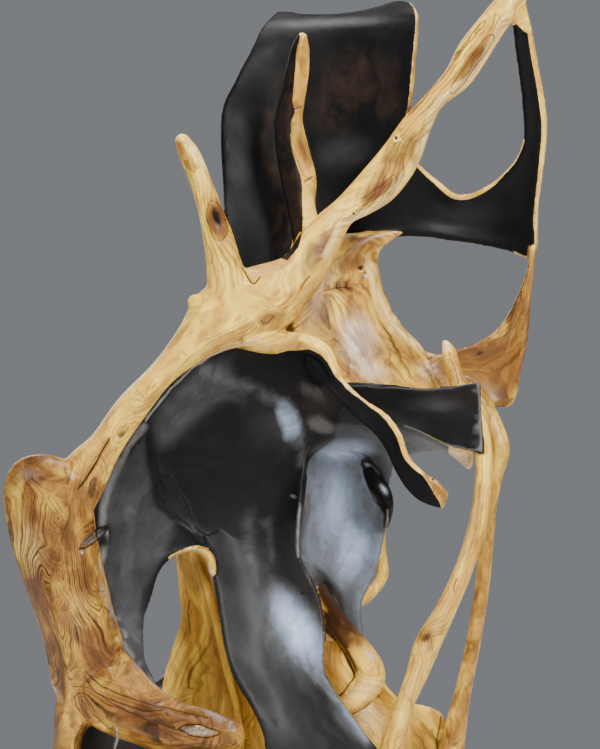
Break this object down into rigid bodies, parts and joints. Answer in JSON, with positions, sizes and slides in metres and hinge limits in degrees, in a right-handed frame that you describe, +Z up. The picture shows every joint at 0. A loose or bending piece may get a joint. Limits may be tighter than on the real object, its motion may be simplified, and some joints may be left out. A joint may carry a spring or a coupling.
{
  "type": "wooden elk sculpture",
  "caption": "Abstract elk carved from a hollow teak root, with antler limbs, lacquered hollows and a low root foot it stands on.",
  "frame": {"origin": "middle of the bounding box, on the flat underside of the root foot", "axes": "+Z up, -Y towards the front of the carving, +X to the right as seen from the front"},
  "size_m": [0.8136, 0.4534, 1.2994],
  "materials": {
    "carved_wood": "satin oiled teak, with black satin lacquer on the hollowed faces"
  },
  "bodies": {
    "root": {"elk_carving": "carved_wood"}
  },
  "joints": []
}
